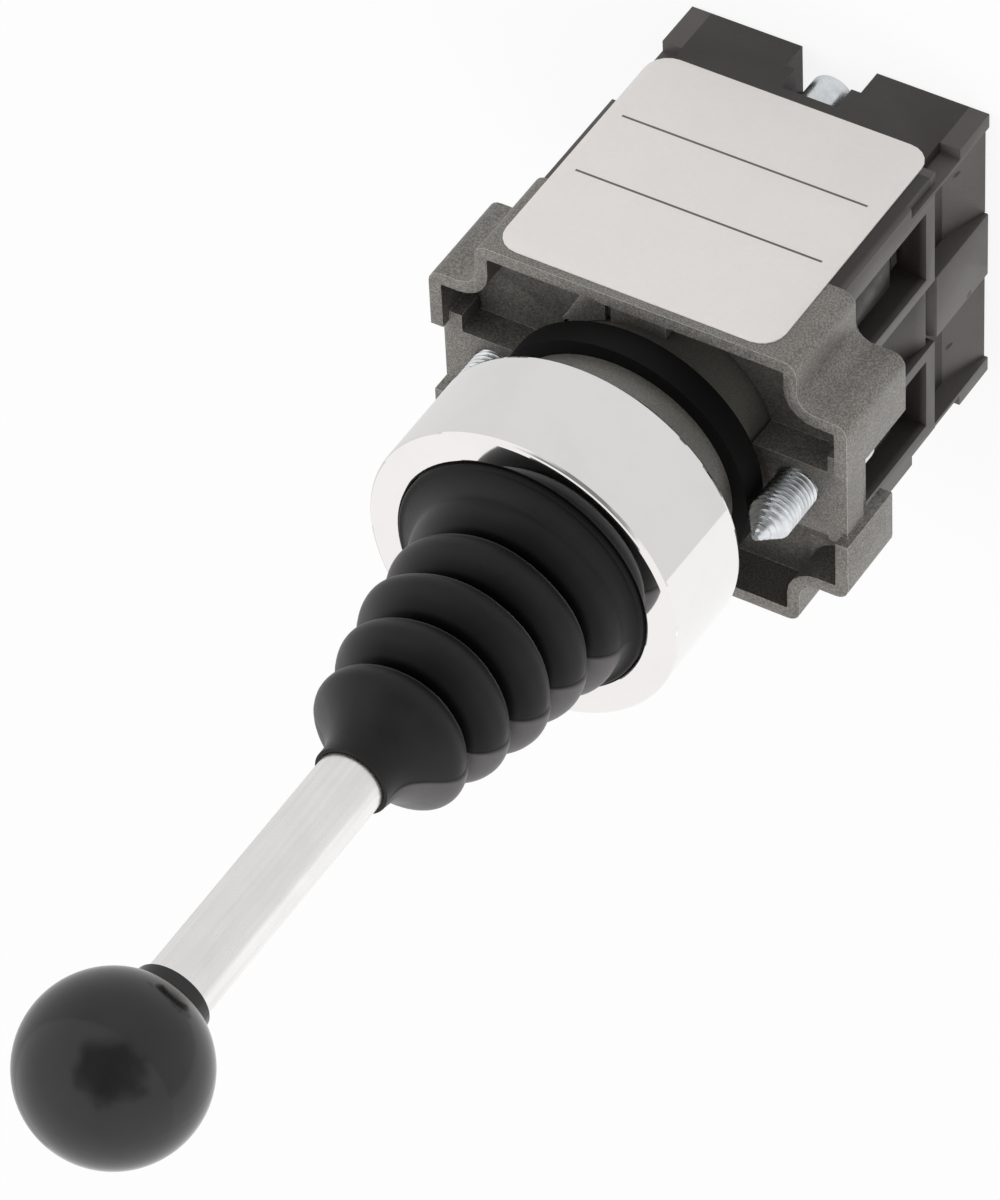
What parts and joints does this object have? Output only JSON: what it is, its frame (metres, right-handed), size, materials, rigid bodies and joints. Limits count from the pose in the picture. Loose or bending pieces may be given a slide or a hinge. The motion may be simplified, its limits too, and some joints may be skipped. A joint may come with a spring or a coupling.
{
  "type": "panel joystick",
  "caption": "Panel-mounted joystick with a ball knob, bellows boot, chrome bezel, clamping collar and stacked black contact blocks.",
  "frame": {"origin": "on the lever axis, in the plane of the bezel's rear face, where the panel's front face seats", "axes": "+Z along the lever towards the knob, +Y towards the side that carries the label, +X to the right seen with the label up and the knob pointing towards the viewer's back; the lever tilts towards +Y and -Y"},
  "size_m": [0.04, 0.0297, 0.1232],
  "materials": {
    "bezel_chrome": "polished chrome plate",
    "neck_zinc": null,
    "steel": "plain pressed steel",
    "boot_rubber": "matte black moulded rubber",
    "knob_plastic": "glossy black thermoset",
    "brass": "plain turned brass",
    "rod_steel": "satin chrome plate",
    "hub_zinc": null,
    "washer_plastic": "fibre washer",
    "rocker_plastic": "moulded acetal",
    "gasket_rubber": "black moulded rubber",
    "collar_zinc": null,
    "screw_steel": "bright zinc plate",
    "block_plastic": "moulded brown-black polyamide",
    "base_plastic": "moulded brown-black polyamide",
    "clamp_steel": "zinc plate",
    "label_paper": "warm pale grey, blank",
    "spring_steel": "drawn spring wire",
    "plunger_plastic": "moulded acetal",
    "contact_copper": null
  },
  "bodies": {
    "head": {"bezel": "bezel_chrome", "head_body": "neck_zinc", "boot_ring": "steel", "boot": "boot_rubber", "pivot_pin": "steel"},
    "lever": {"ball_knob": "knob_plastic", "knob_insert": "brass", "lever_rod": "rod_steel", "pivot_hub": "hub_zinc", "friction_washers": "washer_plastic", "rocker": "rocker_plastic", "rocker_screw": "steel"},
    "mount_unit": {"panel_gasket": "gasket_rubber", "fixing_collar": "collar_zinc", "clamp_screws": "screw_steel", "contact_carrier": "block_plastic", "upper_block": "block_plastic", "lower_block": "block_plastic", "centre_base": "base_plastic", "terminal_screws": "screw_steel", "terminal_clamps": "clamp_steel", "fixed_contacts": "brass", "block_screws": "screw_steel", "label": "label_paper", "upper_spring": "spring_steel", "lower_spring": "spring_steel"},
    "upper_contact": {"upper_plunger": "plunger_plastic", "upper_bridge": "contact_copper"},
    "lower_contact": {"lower_plunger": "plunger_plastic", "lower_bridge": "contact_copper"}
  },
  "joints": [
    {"name": "lever_tilt", "type": "hinge", "parent": "head", "child": "lever", "pos_m": [0, 0, 0.0028], "axis": [1, 0, 0], "range_deg": [-15, 15], "deforming": ["boot"]},
    {"name": "collar_release", "type": "slide", "parent": "head", "child": "mount_unit", "axis": [0, 0, -1], "range_m": [0, 0.04]},
    {"name": "upper_press", "type": "slide", "parent": "mount_unit", "child": "upper_contact", "axis": [0, 0, -1], "range_m": [-0.00183, 0.00183], "deforming": ["upper_spring"]},
    {"name": "lower_press", "type": "slide", "parent": "mount_unit", "child": "lower_contact", "axis": [0, 0, -1], "range_m": [-0.00183, 0.00183], "deforming": ["lower_spring"]}
  ],
  "couplings": [
    {"joint": "upper_press", "follows": "lever_tilt", "m_per_rad": -0.007},
    {"joint": "lower_press", "follows": "lever_tilt", "m_per_rad": 0.007}
  ]
}
